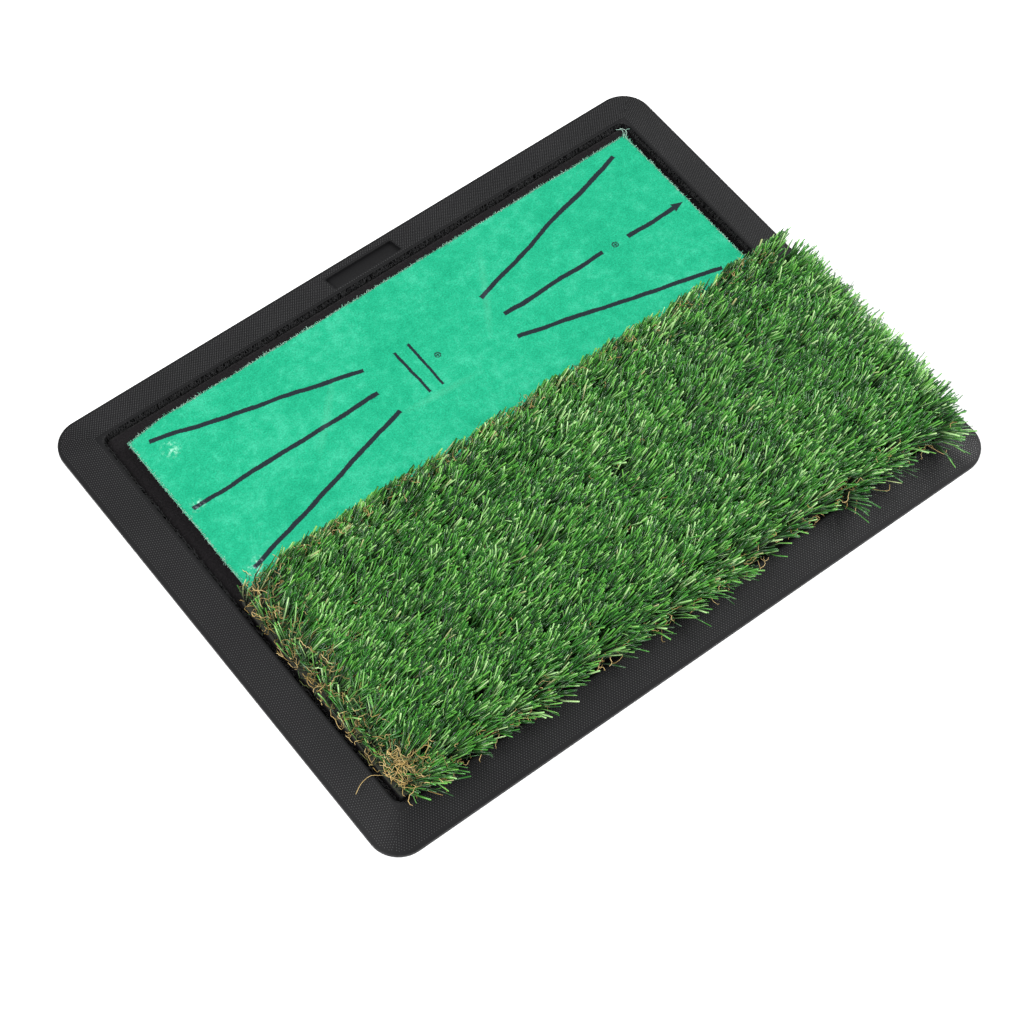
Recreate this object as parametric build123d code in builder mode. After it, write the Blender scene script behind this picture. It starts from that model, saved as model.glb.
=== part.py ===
"""Golf hitting mat: a ramped rubber tray that holds two peel-off pads on a hook-and-loop liner.

The frame: X runs along the tray's long side, towards the end that the grass leans to, Y runs from the
player's side, where the turf pad lies, to the far side, where the velvet strike pad lies, and Z is up.
The origin is the middle of the tray's underside. All sizes are millimetres.
"""
from build123d import *
import os

os.makedirs("parts", exist_ok=True)

# ---- Tray: driving sizes -------------------------------------------------------------------------
tray_length = 420.0
tray_width = 329.0
tray_corner_radius = 18.0
rim_width = 22.5  # outer edge to recess wall, seen from above
lip_height = 2.5  # upright band round the outside
crest_height = 9.5  # highest line of the ramped rim
crest_land = 1.2  # narrow level band beside the recess
crest_round = 0.5
lip_round = 0.4
floor_thickness = 4.0
recess_corner_radius = 7.0

# Blank name-plate pocket, sunk square to the far ramp
pocket_length = 47.0
pocket_width = 12.0
pocket_depth = 1.8
pocket_corner_radius = 0.8
pocket_shift = 1.4  # along X from the middle of the rim
pocket_edge_gap = 6.8  # tray's outer edge to the pocket, seen from above

# Grip grooves moulded into the underside
groove_count = 10
groove_pitch = 28.0
groove_width = 3.0
groove_depth = 0.8
groove_end_gap = 25.0

# ---- Liner and pads: driving sizes ---------------------------------------------------------------
liner_thickness = 1.5
liner_gap = 1.0  # cut a little smaller than the recess

hook_thickness = 1.0
hook_strip_width = 25.0
hook_edge_inset = 6.0  # strip ends and outer strips to the pad's edge

velvet_width = 122.0
velvet_left_gap = 10.5
velvet_right_gap = 6.5
velvet_far_gap = 9.0
velvet_corner_radius = 2.0
velvet_backing_thickness = 2.0
velvet_ground_thickness = 0.6
velvet_pile_height = 1.0
velvet_hook_strips = 3

pad_gap = 2.5  # between the two pads
turf_left_gap = 3.5
turf_right_gap = 5.5
turf_near_gap = 3.5
turf_corner_radius = 1.5
turf_latex_thickness = 2.4
turf_primary_thickness = 0.8
turf_hook_strips = 4

thatch_height = 6.0  # curled yarns at the foot of the blades
pile_height = 21.0  # backing to blade tips, measured straight up
blade_lean = 1.05  # how far the blades lean along +X for each millimetre of height
near_spread = 0.35  # how far the front rows splay over the near rim for each millimetre of height
far_taper = 0.05  # how far the back rows draw in for each millimetre of height

# ---- Worked out from the sizes above -------------------------------------------------------------
recess_length = tray_length - 2 * rim_width
recess_width = tray_width - 2 * rim_width
ramp_run = rim_width - crest_land
ramp_rise = crest_height - lip_height
ramp_slope = ramp_rise / ramp_run

liner_top = floor_thickness + liner_thickness
pad_seat = liner_top + hook_thickness

velvet_length = recess_length - velvet_left_gap - velvet_right_gap
velvet_x = (velvet_left_gap - velvet_right_gap) / 2
velvet_y = recess_width / 2 - velvet_far_gap - velvet_width / 2
velvet_ground_seat = pad_seat + velvet_backing_thickness
velvet_pile_seat = velvet_ground_seat + velvet_ground_thickness

turf_length = recess_length - turf_left_gap - turf_right_gap
turf_width = recess_width - velvet_far_gap - velvet_width - pad_gap - turf_near_gap
turf_x = (turf_left_gap - turf_right_gap) / 2
turf_y = -recess_width / 2 + turf_near_gap + turf_width / 2
turf_primary_seat = pad_seat + turf_latex_thickness
turf_pile_seat = turf_primary_seat + turf_primary_thickness


# ---- Base: tray and liner ------------------------------------------------------------------------
with BuildPart() as base_tray:
    # Upright lip, then the ramp that climbs to the crest beside the recess
    with BuildSketch():
        RectangleRounded(tray_length, tray_width, tray_corner_radius)
    extrude(amount=lip_height)
    with BuildSketch(Plane.XY.offset(lip_height)):
        RectangleRounded(tray_length, tray_width, tray_corner_radius)
    with BuildSketch(Plane.XY.offset(crest_height)):
        RectangleRounded(
            recess_length + 2 * crest_land,
            recess_width + 2 * crest_land,
            recess_corner_radius + crest_land,
        )
    loft(ruled=True)
    # Recess for the liner and the pads
    with BuildSketch(Plane.XY.offset(floor_thickness)):
        RectangleRounded(recess_length, recess_width, recess_corner_radius)
    extrude(amount=crest_height - floor_thickness, mode=Mode.SUBTRACT)
    # Moulded edges are soft: both sides of the crest, and the top of the lip
    fillet(base_tray.edges().group_by(Axis.Z)[-1], radius=crest_round)
    lip_edges = base_tray.edges().filter_by_position(Axis.Z, lip_height, lip_height)
    fillet(lip_edges, radius=lip_round)
    # Name-plate pocket, its floor level with the ramp's slope
    pocket_y = tray_width / 2 - pocket_edge_gap - pocket_width / 2
    pocket_z = lip_height + (tray_width / 2 - pocket_y) * ramp_slope
    far_ramp = Plane(
        origin=(pocket_shift, pocket_y, pocket_z), x_dir=(1, 0, 0), z_dir=(0, ramp_rise, ramp_run)
    )
    with BuildSketch(far_ramp):
        RectangleRounded(pocket_length, pocket_width, pocket_corner_radius)
    extrude(amount=-pocket_depth, mode=Mode.SUBTRACT)
    # Grip grooves, run lengthwise and closed at both ends
    with BuildSketch():
        with GridLocations(0, groove_pitch, 1, groove_count):
            SlotOverall(tray_length - 2 * groove_end_gap, groove_width)
    extrude(amount=groove_depth, mode=Mode.SUBTRACT)
base_tray.part.label = "base_tray"
export_step(base_tray.part, "parts/base_tray.step")

with BuildPart() as loop_liner:
    with BuildSketch(Plane.XY.offset(floor_thickness)):
        RectangleRounded(
            recess_length - 2 * liner_gap,
            recess_width - 2 * liner_gap,
            recess_corner_radius - liner_gap,
        )
    extrude(amount=liner_thickness)
loop_liner.part.label = "loop_liner"
export_step(loop_liner.part, "parts/loop_liner.step")


# ---- Velvet strike pad: backing, ground cloth, pile face, hook strips -----------------------------
with BuildPart() as velvet_foam_backing:
    with BuildSketch(Plane.XY.offset(pad_seat)):
        with Locations((velvet_x, velvet_y)):
            RectangleRounded(velvet_length, velvet_width, velvet_corner_radius)
    extrude(amount=velvet_backing_thickness)
velvet_foam_backing.part.label = "velvet_foam_backing"
export_step(velvet_foam_backing.part, "parts/velvet_foam_backing.step")

with BuildPart() as velvet_ground_cloth:
    with BuildSketch(Plane.XY.offset(velvet_ground_seat)):
        with Locations((velvet_x, velvet_y)):
            RectangleRounded(velvet_length, velvet_width, velvet_corner_radius)
    extrude(amount=velvet_ground_thickness)
velvet_ground_cloth.part.label = "velvet_ground_cloth"
export_step(velvet_ground_cloth.part, "parts/velvet_ground_cloth.step")

with BuildPart() as velvet_pile:
    with BuildSketch(Plane.XY.offset(velvet_pile_seat)):
        with Locations((velvet_x, velvet_y)):
            RectangleRounded(velvet_length, velvet_width, velvet_corner_radius)
    extrude(amount=velvet_pile_height)
velvet_pile.part.label = "velvet_pile"
export_step(velvet_pile.part, "parts/velvet_pile.step")

# Hook strips run across the pad, the outer ones near its ends
velvet_strip_pitch = (velvet_length - 2 * hook_edge_inset - hook_strip_width) / (velvet_hook_strips - 1)
for number in range(velvet_hook_strips):
    strip_x = velvet_x + (number - (velvet_hook_strips - 1) / 2) * velvet_strip_pitch
    with BuildPart() as hook_strip:
        with BuildSketch(Plane.XY.offset(liner_top)):
            with Locations((strip_x, velvet_y)):
                Rectangle(hook_strip_width, velvet_width - 2 * hook_edge_inset)
        extrude(amount=hook_thickness)
    hook_strip.part.label = f"velvet_hook_strip_{number + 1}"
    export_step(hook_strip.part, f"parts/velvet_hook_strip_{number + 1}.step")


# ---- Turf pad: latex coat, woven primary backing, thatch, blades, hook strips ---------------------
def pile_section(height):
    """Middle and size of the leaning pile's level section at a height above the turf's backing."""
    near_edge = turf_y - turf_width / 2 - near_spread * height
    far_edge = turf_y + turf_width / 2 - far_taper * height
    middle = (turf_x + blade_lean * height, (near_edge + far_edge) / 2)
    return middle, far_edge - near_edge


with BuildPart() as turf_latex_coat:
    with BuildSketch(Plane.XY.offset(pad_seat)):
        with Locations((turf_x, turf_y)):
            RectangleRounded(turf_length, turf_width, turf_corner_radius)
    extrude(amount=turf_latex_thickness)
turf_latex_coat.part.label = "turf_latex_coat"
export_step(turf_latex_coat.part, "parts/turf_latex_coat.step")

with BuildPart() as turf_primary_backing:
    with BuildSketch(Plane.XY.offset(turf_primary_seat)):
        with Locations((turf_x, turf_y)):
            RectangleRounded(turf_length, turf_width, turf_corner_radius)
    extrude(amount=turf_primary_thickness)
turf_primary_backing.part.label = "turf_primary_backing"
export_step(turf_primary_backing.part, "parts/turf_primary_backing.step")

# The pile is a leaning block in two layers: curled thatch at the foot, straight blades above it
foot_middle, foot_width = pile_section(0)
waist_middle, waist_width = pile_section(thatch_height)
tip_middle, tip_width = pile_section(pile_height)

with BuildPart() as turf_thatch:
    with BuildSketch(Plane.XY.offset(turf_pile_seat)):
        with Locations(foot_middle):
            Rectangle(turf_length, foot_width)
    with BuildSketch(Plane.XY.offset(turf_pile_seat + thatch_height)):
        with Locations(waist_middle):
            Rectangle(turf_length, waist_width)
    loft(ruled=True)
turf_thatch.part.label = "turf_thatch"
export_step(turf_thatch.part, "parts/turf_thatch.step")

with BuildPart() as turf_blades:
    with BuildSketch(Plane.XY.offset(turf_pile_seat + thatch_height)):
        with Locations(waist_middle):
            Rectangle(turf_length, waist_width)
    with BuildSketch(Plane.XY.offset(turf_pile_seat + pile_height)):
        with Locations(tip_middle):
            Rectangle(turf_length, tip_width)
    loft(ruled=True)
turf_blades.part.label = "turf_blades"
export_step(turf_blades.part, "parts/turf_blades.step")

turf_strip_pitch = (turf_length - 2 * hook_edge_inset - hook_strip_width) / (turf_hook_strips - 1)
for number in range(turf_hook_strips):
    strip_x = turf_x + (number - (turf_hook_strips - 1) / 2) * turf_strip_pitch
    with BuildPart() as hook_strip:
        with BuildSketch(Plane.XY.offset(liner_top)):
            with Locations((strip_x, turf_y)):
                Rectangle(hook_strip_width, turf_width - 2 * hook_edge_inset)
        extrude(amount=hook_thickness)
    hook_strip.part.label = f"turf_hook_strip_{number + 1}"
    export_step(hook_strip.part, f"parts/turf_hook_strip_{number + 1}.step")
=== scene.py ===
# %% [markdown]
# # A golf hitting mat, dressed in Blender
# The CAD model gives the tray, the liner and the layers of two peel-off pads as a fixed frame. Here each
# piece gets its surface: moulded rubber, loop fleece, printed velvet, and artificial turf made blade by
# blade. Everything is in metres and stands where the CAD parts stand.

# %% Load the frame
import math

import bmesh
import bpy
import numpy as np
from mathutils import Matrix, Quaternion, Vector, noise


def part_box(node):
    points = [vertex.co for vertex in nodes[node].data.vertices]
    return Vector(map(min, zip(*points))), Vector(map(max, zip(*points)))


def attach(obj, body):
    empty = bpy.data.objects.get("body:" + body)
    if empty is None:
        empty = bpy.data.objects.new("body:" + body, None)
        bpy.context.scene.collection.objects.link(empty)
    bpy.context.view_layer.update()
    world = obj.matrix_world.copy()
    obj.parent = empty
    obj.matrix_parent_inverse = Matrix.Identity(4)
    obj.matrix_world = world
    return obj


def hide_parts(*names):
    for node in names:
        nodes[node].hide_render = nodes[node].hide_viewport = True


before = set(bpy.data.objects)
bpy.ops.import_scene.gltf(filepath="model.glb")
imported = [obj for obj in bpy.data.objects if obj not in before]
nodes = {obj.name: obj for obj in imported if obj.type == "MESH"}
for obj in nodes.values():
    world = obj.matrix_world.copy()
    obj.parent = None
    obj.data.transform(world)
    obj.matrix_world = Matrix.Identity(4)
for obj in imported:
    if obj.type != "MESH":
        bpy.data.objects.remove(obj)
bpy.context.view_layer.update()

# %% [markdown]
# ## Sizes
# Places come from the boxes of the CAD nodes. A few sizes that a box can't tell, such as how wide the
# ramped rim's level crest is, are written here once, as they are in the CAD model.

# %% Named sizes
MM = 0.001

tray_low, tray_high = (Vector(corner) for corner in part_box("base_tray"))
liner_low, liner_high = (Vector(corner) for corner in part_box("loop_liner"))
backing_low, backing_high = (Vector(corner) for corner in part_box("turf_primary_backing"))
velvet_low, velvet_high = (Vector(corner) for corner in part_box("velvet_pile"))

liner_gap = 1.0 * MM
crest_land = 1.2 * MM
lip_height = 2.5 * MM
outer_corner = 18.0 * MM
ramp_top_corner = 8.2 * MM

half_length, half_width = tray_high.x, tray_high.y
ramp_run = half_length - (liner_high.x + liner_gap + crest_land)
ramp_rise = tray_high.z - lip_height
print("tray", [round(size / MM, 1) for size in tray_high - tray_low], "ramp", round(ramp_run / MM, 2))

# %% [markdown]
# ## Small helpers
# Every new piece ends the same way: its mesh becomes an object that wears one material and rides on a
# body. Node trees are easier to read when a node and its fixed inputs are made in one call, so there is a
# helper for that too.

# %% Helpers for pieces and node trees
def add_piece(mesh, body, material, smooth=True):
    """Makes the mesh an object that rides on a body, and prints its size."""
    piece = bpy.data.objects.new(mesh.name, mesh)
    bpy.context.scene.collection.objects.link(piece)
    mesh.materials.append(material)
    mesh.polygons.foreach_set("use_smooth", [smooth] * len(mesh.polygons))
    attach(piece, body)
    mesh.calc_loop_triangles()
    print(f"{mesh.name}: {len(mesh.loop_triangles)} triangles on {body}")
    return piece


def to_mesh(bm, name):
    """Turns a finished bmesh into a mesh and frees it."""
    mesh = bpy.data.meshes.new(name)
    bm.to_mesh(mesh)
    bm.free()
    return mesh


class Tree:
    """A material's node tree, with one call to add a node and fill its inputs."""

    def __init__(self, name):
        self.material = bpy.data.materials.new(name)
        self.material.use_nodes = True
        self.nodes = self.material.node_tree.nodes
        self.links = self.material.node_tree.links
        self.shader = self.nodes["Principled BSDF"]

    def add(self, kind, inputs=None, **settings):
        node = self.nodes.new("ShaderNode" + kind)
        for key, value in settings.items():
            setattr(node, key, value)
        for key, value in (inputs or {}).items():
            if isinstance(value, bpy.types.NodeSocket):
                self.links.new(value, node.inputs[key])
            else:
                node.inputs[key].default_value = value
        return node

    def set(self, **values):
        """Fills the shader's sockets: Base_Color=... sets or links the socket Base Color."""
        for key, value in values.items():
            socket = self.shader.inputs[key.replace("_", " ")]
            if isinstance(value, bpy.types.NodeSocket):
                self.links.new(value, socket)
            else:
                socket.default_value = value

    def math(self, operation, first, second=0.0):
        return self.add("Math", {0: first, 1: second}, operation=operation).outputs[0]

    def vector(self, operation, first, second=(0.0, 0.0, 0.0)):
        return self.add("VectorMath", {0: first, 1: second}, operation=operation).outputs[0]

    def distance(self, first, second=(0.0, 0.0, 0.0)):
        inputs = {0: first, 1: second}
        return self.add("VectorMath", inputs, operation="DISTANCE").outputs["Value"]

    def remap(self, value, start, end, low=0.0, high=1.0):
        """Carries a value from the stretch start to end over to low to high, and holds it there."""
        inputs = {"Value": value, "From Min": start, "From Max": end, "To Min": low, "To Max": high}
        return self.add("MapRange", inputs).outputs["Result"]

    def cells(self, coords, size, **settings):
        """0 at the middle of each cell of a Voronoi pattern, growing towards its wall."""
        inputs = {"Vector": coords, "Scale": 1 / size}
        return self.add("TexVoronoi", inputs, **settings).outputs["Distance"]

    def noise(self, coords, size, detail=2.0, rough=0.5):
        """Noise whose largest lumps are about size metres across."""
        inputs = {"Vector": coords, "Scale": 1.0 / size, "Detail": detail, "Roughness": rough}
        return self.add("TexNoise", inputs).outputs["Fac"]

    def blend(self, factor, first, second):
        """A colour between two others, which may be sockets or plain colours."""
        mix = self.add("Mix", data_type="RGBA")
        for socket, value in ((mix.inputs[0], factor), (mix.inputs[6], first), (mix.inputs[7], second)):
            if isinstance(value, bpy.types.NodeSocket):
                self.links.new(value, socket)
            else:
                socket.default_value = value
        return mix.outputs[2]

    def ramp(self, factor, stops):
        """A colour ramp through (position, colour) stops."""
        node = self.add("ValToRGB", {"Fac": factor})
        band = node.color_ramp.elements
        while len(band) < len(stops):
            band.new(0.5)
        for element, (position, colour) in zip(band, stops):
            element.position = position
            element.color = colour
        return node.outputs["Color"]

    def bump(self, height, depth, strength=1.0):
        inputs = {"Height": height, "Distance": depth, "Strength": strength}
        return self.add("Bump", inputs).outputs["Normal"]

    def object_coords(self):
        return self.add("TexCoord").outputs["Object"]

    def two_tone(self, pattern, dark, light, roughness, raised, depth, strength=1.0, **more):
        """Two colours blended by one pattern and raised by another, as a finished material."""
        self.set(
            Base_Color=self.blend(pattern, dark, light),
            Roughness=roughness,
            Normal=self.bump(raised, depth, strength),
            **more,
        )
        return self.material


def rgb(red, green, blue):
    """A colour given as it looks on screen, 0 to 255, as the linear colour that nodes take."""
    def linear(value):
        value /= 255
        return value / 12.92 if value <= 0.04045 else ((value + 0.055) / 1.055) ** 2.4
    return (linear(red), linear(green), linear(blue), 1.0)

# %% [markdown]
# ## Moulded rubber
# The tray is one moulding of black rubber. Its skin isn't a flat black: fillers leave it a little cloudy,
# and the mould leaves a very fine grain. The ramp's raised dots are made as geometry further down, so
# this finish holds only the cloudiness and the grain.

# %% Rubber finish for the tray
def rubber_finish(name, dark, light, roughness, shine):
    tree = Tree(name)
    coords = tree.object_coords()
    cloud = tree.noise(coords, 40 * MM, detail=3.0)
    grain = tree.noise(coords, 0.7 * MM)
    uneven = tree.remap(grain, 0.0, 1.0, roughness - 0.06, roughness + 0.08)
    return tree.two_tone(
        cloud, dark, light, uneven, raised=grain, depth=0.06 * MM, strength=0.5, Specular_IOR_Level=shine
    )


tray_rubber = rubber_finish("tray_rubber", rgb(15, 15, 16), rgb(22, 22, 23), 0.5, 0.14)
# The dots are moulded in the same rubber as the tray. Their much lighter colour is painted highlight,
# standing in for the glint on each dot.
stud_rubber_painted_highlight = rubber_finish("stud_rubber_painted_highlight", rgb(48, 48, 49), rgb(64, 64, 65), 0.35, 0.45)
nodes["base_tray"].material_slots[0].material = tray_rubber
print("tray wears", tray_rubber.name)

# %% [markdown]
# ## The ramp's raised dots
# A staggered grid of low dots covers the ramp. On screen they are what makes the rubber look like rubber,
# so each one is real: a low six-sided stud. One stud is modelled, and thousands of copies are placed.
# To place them, a function has to know how high the ramp is at any point. The ramp's level lines are
# rounded rectangles that shrink from the outer edge to the crest, so the share of the way up is found by
# halving an interval until the point lies on the level line.

# %% Height of the tray's upper side
def inside_by(x, y, share):
    """Signed distance from points to the ramp's level line at a share of the way up."""
    corner = outer_corner + share * (ramp_top_corner - outer_corner)
    beyond_x = np.abs(x) - (half_length - share * ramp_run - corner)
    beyond_y = np.abs(y) - (half_width - share * ramp_run - corner)
    outside = np.hypot(np.maximum(beyond_x, 0), np.maximum(beyond_y, 0))
    return outside + np.minimum(np.maximum(beyond_x, beyond_y), 0) - corner


def ramp_share(x, y):
    """0 at the tray's outer edge, 1 at the top of the ramp; beyond either it is held there."""
    low, high = np.zeros(np.shape(x)), np.ones(np.shape(x))
    halvings = 24
    for _ in range(halvings):
        middle = (low + high) / 2
        above = inside_by(x, y, middle) < 0
        low, high = np.where(above, middle, low), np.where(above, high, middle)
    return (low + high) / 2


def tray_height(x, y):
    """The height of what lies under a point: the ramp, or the liner inside the recess."""
    in_recess = inside_by(x, y, (ramp_run + crest_land) / ramp_run) < 0
    on_tray = inside_by(x, y, 0.0) < 0
    ramp = lip_height + ramp_rise * ramp_share(x, y)
    return np.where(in_recess, liner_high.z, np.where(on_tray, ramp, 0.0))


print("ramp at mid rim", round(float(tray_height(half_length - ramp_run / 2, 0.0)) / MM, 2), "mm")

# %% [markdown]
# A small model is read once as corner places and faces. Laying out thousands of copies is then plain
# arithmetic on arrays, which takes a moment, where a bmesh operator for each copy would take minutes.

# %% Copying a small model many times
def model_arrays(bm):
    """The corner places and the faces of a small model, ready for copying."""
    bm.verts.index_update()
    places = np.array([vertex.co[:] for vertex in bm.verts])
    faces = [[vertex.index for vertex in face.verts] for face in bm.faces]
    bm.free()
    return places, faces


def copies(name, points, faces, across=None, along=None):
    """One mesh of many copies. points has a row of corners for each copy. across and along give each
    corner's place on the piece's own map, which keeps one colour patch for each copy."""
    count, corners = points.shape[:2]
    mesh = bpy.data.meshes.new(name)
    mesh.vertices.add(count * corners)
    mesh.vertices.foreach_set("co", points.astype(np.float32).ravel())
    loop = np.concatenate([np.array(face) for face in faces])
    totals = np.array([len(face) for face in faces])
    starts = np.concatenate([[0], np.cumsum(totals)[:-1]])
    steps = np.arange(count)[:, None]
    mesh.loops.add(count * len(loop))
    mesh.loops.foreach_set("vertex_index", (loop + steps * corners).astype(np.int32).ravel())
    mesh.polygons.add(count * len(faces))
    mesh.polygons.foreach_set("loop_start", (starts + steps * len(loop)).astype(np.int32).ravel())
    if across is not None:
        layer = mesh.uv_layers.new(name="OFBake")
        uv = np.stack([across[:, loop], along[:, loop]], -1)
        layer.uv.foreach_set("vector", uv.astype(np.float32).ravel())
    mesh.update(calc_edges=True)
    mesh.validate()
    return mesh


# %% Raised dots on the four ramps
stud_sides = 6
stud_radius = 0.36 * MM
stud_top_share = 0.6  # the flat top's radius, as a share of the foot's
stud_height = 0.42 * MM
stud_sunk = 0.1 * MM
stud_rows = 1.15 * MM  # between rows, seen from above
stud_pitch = 1.6 * MM  # along a row
stud_edge_gap = 1.6 * MM
stud_crest_gap = 0.4 * MM
slope_step = 0.2 * MM  # over which the ramp's slope is measured
pocket_middle = Vector((1.4 * MM, half_width - 12.8 * MM))
pocket_half = Vector((24.6 * MM, 7.0 * MM))  # half the patch round the pocket that has no dots


def stud_places(along_x):
    """Points of the staggered grid on the two ramps that run along X, or the two that run along Y."""
    run, reach = (half_length, half_width) if along_x else (half_width, half_length)
    rows = np.arange(stud_edge_gap, ramp_run - stud_crest_gap, stud_rows)
    steps = np.arange(-run, run, stud_pitch)
    row, step = np.meshgrid(np.arange(len(rows)), steps, indexing="ij")
    run_place = (step + (row % 2) * stud_pitch / 2).ravel()
    side_place = (reach - rows[row]).ravel()
    spots = []
    for side in (-1, 1):
        x, y = (run_place, side * side_place) if along_x else (side * side_place, run_place)
        own_ramp = (half_width - np.abs(y) < half_length - np.abs(x)) == along_x
        share = ramp_share(x, y)
        on_ramp = (share > stud_edge_gap / ramp_run) & (share < 1 - stud_crest_gap / ramp_run)
        away_x, away_y = np.abs(x - pocket_middle.x), np.abs(y - pocket_middle.y)
        in_pocket = (away_x < pocket_half.x) & (away_y < pocket_half.y)
        keep = own_ramp & on_ramp & ~in_pocket
        spots.append(np.stack([x[keep], y[keep]], 1))
    return np.concatenate(spots)


def stud_mesh(name, spots):
    """One stud, copied to every spot and turned square to the ramp there."""
    bm = bmesh.new()
    bmesh.ops.create_cone(
        bm, cap_ends=True, segments=stud_sides, radius1=stud_radius, radius2=stud_top_share * stud_radius,
        depth=stud_height,
    )
    bmesh.ops.translate(bm, verts=bm.verts, vec=(0, 0, stud_height / 2 - stud_sunk))
    places, faces = model_arrays(bm)
    x, y = spots.T
    step = slope_step
    height = lip_height + ramp_rise * ramp_share(x, y)
    slope_x = (ramp_share(x + step, y) - ramp_share(x - step, y)) * ramp_rise / (2 * step)
    slope_y = (ramp_share(x, y + step) - ramp_share(x, y - step)) * ramp_rise / (2 * step)
    normal = np.stack([-slope_x, -slope_y, np.ones(len(x))], 1)
    normal /= np.linalg.norm(normal, axis=1, keepdims=True)
    first = np.cross(np.broadcast_to((0.0, 1.0, 0.0), normal.shape), normal)
    first /= np.linalg.norm(first, axis=1, keepdims=True)
    second = np.cross(normal, first)
    middle = np.stack([x, y, height], 1)[:, None]
    points = middle + sum(
        places[None, :, axis, None] * direction[:, None]
        for axis, direction in enumerate((first, second, normal))
    )
    return copies(name, points, faces)


for name, along_x in (("long_ramp_studs", True), ("short_ramp_studs", False)):
    add_piece(stud_mesh(name, stud_places(along_x)), "base", stud_rubber_painted_highlight, smooth=False)

# %% [markdown]
# ## Cut sheets
# The liner, the velvet, the foam and the cloths are all flat goods that were cut out with a knife: their
# edges wander a little, their corners are soft, and their upper side isn't quite level. One function makes
# them all. A grid is shaped in plan, two insets give it a rolled edge, and its border is pulled down to
# make a closed slab. What differs from sheet to sheet is how the knife strayed and how the top rises and
# falls, so each sheet brings those two as small functions of its own.

# %% A slab of cut cloth or foam
def lumps(x, y, size, seed):
    """Smooth noise from -1 to 1, with lumps about size across."""
    return noise.noise(Vector((x / size, y / size, seed)))


knife_reach = 12 * MM  # how far in from an edge the grid gives way to the knife
rim_drop, ring_drop = 1.1, 0.3  # how far the rolled edge's two rings fall, in edge rolls


def level_top(x, y):
    return 0.0


def cut_slab(name, low, high, cell, cut, hollow=level_top, corner=1.5 * MM, edge_roll=0.15 * MM):
    """A closed slab inside a box. cut(x, y, axis) is how far the knife strayed inwards along an axis at
    a place, and hollow(x, y) how far the upper side lies below the box's top, both from the middle."""
    size, middle = high - low, (high + low) / 2
    bm = bmesh.new()
    bmesh.ops.create_grid(
        bm, x_segments=round(size.x / cell), y_segments=round(size.y / cell), size=0.5
    )
    bmesh.ops.scale(bm, verts=bm.verts, vec=(size.x, size.y, 1))
    for vertex in bm.verts:
        x, y = vertex.co.x, vertex.co.y
        over = Vector((abs(x) - size.x / 2 + corner, abs(y) - size.y / 2 + corner))
        if over.x > 0 and over.y > 0 and over.length > corner:
            over *= corner / over.length
            vertex.co.x = math.copysign(size.x / 2 - corner + over.x, x)
            vertex.co.y = math.copysign(size.y / 2 - corner + over.y, y)
        for axis, place in enumerate((x, y)):
            hold = 1 - (size[axis] / 2 - abs(place)) / knife_reach
            if hold > 0:
                vertex.co[axis] -= math.copysign(hold * cut(x, y, axis), place)
    for _ in range(2):
        bmesh.ops.inset_region(
            bm, faces=bm.faces, thickness=edge_roll, use_even_offset=True, use_boundary=True
        )
    rim = {vertex for vertex in bm.verts if vertex.is_boundary}
    next_ring = {edge.other_vert(vertex) for vertex in rim for edge in vertex.link_edges} - rim
    for vertex in bm.verts:
        drop = rim_drop if vertex in rim else ring_drop if vertex in next_ring else 0
        vertex.co.z = high.z - hollow(vertex.co.x, vertex.co.y) - drop * edge_roll
    border = [edge for edge in bm.edges if edge.is_boundary]
    pulled = bmesh.ops.extrude_edge_only(bm, edges=border)["geom"]
    for vertex in (item for item in pulled if isinstance(item, bmesh.types.BMVert)):
        vertex.co.z = low.z
    bmesh.ops.holes_fill(bm, edges=[edge for edge in bm.edges if edge.is_boundary])
    bmesh.ops.translate(bm, verts=bm.verts, vec=(middle.x, middle.y, 0))
    bmesh.ops.recalc_face_normals(bm, faces=bm.faces)
    return to_mesh(bm, name)

# %% [markdown]
# ## Loop liner
# The recess floor is covered with black loop fleece, the soft half of a hook-and-loop pair. It shows as a
# dark band round the pads. The sheet gets a knobbly upper side, and short curled fibres stand on it, which
# give it the soft broken outline that bump alone can't.

# %% Liner finish and sheet
def fleece_finish():
    tree = Tree("loop_fleece")
    coords = tree.object_coords()
    knots = tree.noise(coords, 1.1 * MM, detail=3.0, rough=0.7)
    patch = tree.noise(coords, 14 * MM)
    colour = tree.ramp(knots, [(0.35, rgb(3, 2, 3)), (0.65, rgb(22, 19, 21))])
    tree.set(
        Base_Color=tree.blend(tree.math("MULTIPLY", patch, 0.2), colour, rgb(30, 28, 30)),
        Roughness=0.95,
        Specular_IOR_Level=0.15,
        Sheen_Weight=0.04,
        Sheen_Roughness=0.5,
        Normal=tree.bump(knots, 0.5 * MM),
    )
    return tree.material


liner_sheet = add_piece(
    cut_slab(
        "liner_sheet", liner_low, liner_high, 2 * MM,
        cut=lambda x, y, axis: MM * abs(0.5 * lumps(x, y, 25 * MM, 3) + 0.4 * lumps(x, y, 3 * MM, 4)),
        hollow=lambda x, y: MM * (0.12 + 0.12 * lumps(x, y, 4 * MM, 5)),
        corner=6 * MM, edge_roll=0.3 * MM,
    ),
    "base", fleece_finish(),
)
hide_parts("loop_liner")

# %% [markdown]
# ## Yarns
# Fibres, frayed ends, curled thatch and grass blades are one shape at different sizes: a thin closed
# strand along a path. The model strand is made once with an extruded circle, as a chain of rings, and a
# function lays copies of it along many paths at once.

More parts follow.
